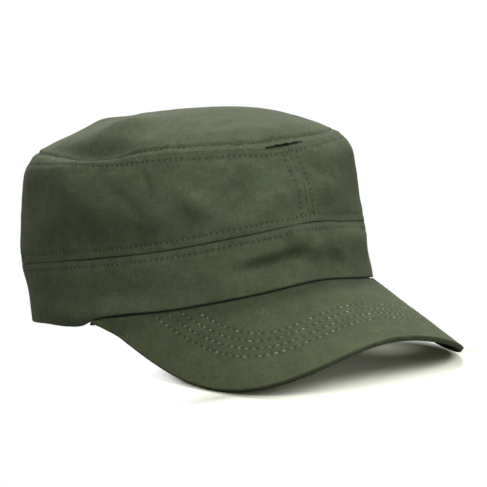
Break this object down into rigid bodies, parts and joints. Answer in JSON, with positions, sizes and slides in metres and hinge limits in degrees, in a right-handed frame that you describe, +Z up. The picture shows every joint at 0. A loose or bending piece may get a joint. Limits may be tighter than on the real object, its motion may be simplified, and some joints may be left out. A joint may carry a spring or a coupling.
{
  "type": "tactical cap",
  "caption": "Flat-topped cotton twill field cap: domed top panel, two side panels, broad head band and a stiff curved peak with four stitch rows.",
  "frame": {"origin": "centre of the bounding box's bottom face, on the surface that the cap lies on", "axes": "-Y is the front, towards the peak; +X is the wearer's left; +Z is up"},
  "size_m": [0.1728, 0.2652, 0.1223],
  "materials": {
    "crown_twill": "matte washed cotton twill, fine diagonal weave",
    "band_twill": "matte washed cotton twill, fine diagonal weave",
    "peak_twill": "matte cotton twill drawn smooth over a stiff board",
    "thread": "matte sewing thread"
  },
  "bodies": {
    "root": {"band": "band_twill", "crown_side_right": "crown_twill", "crown_side_left": "crown_twill", "crown_top": "crown_twill", "peak": "peak_twill"}
  },
  "joints": []
}
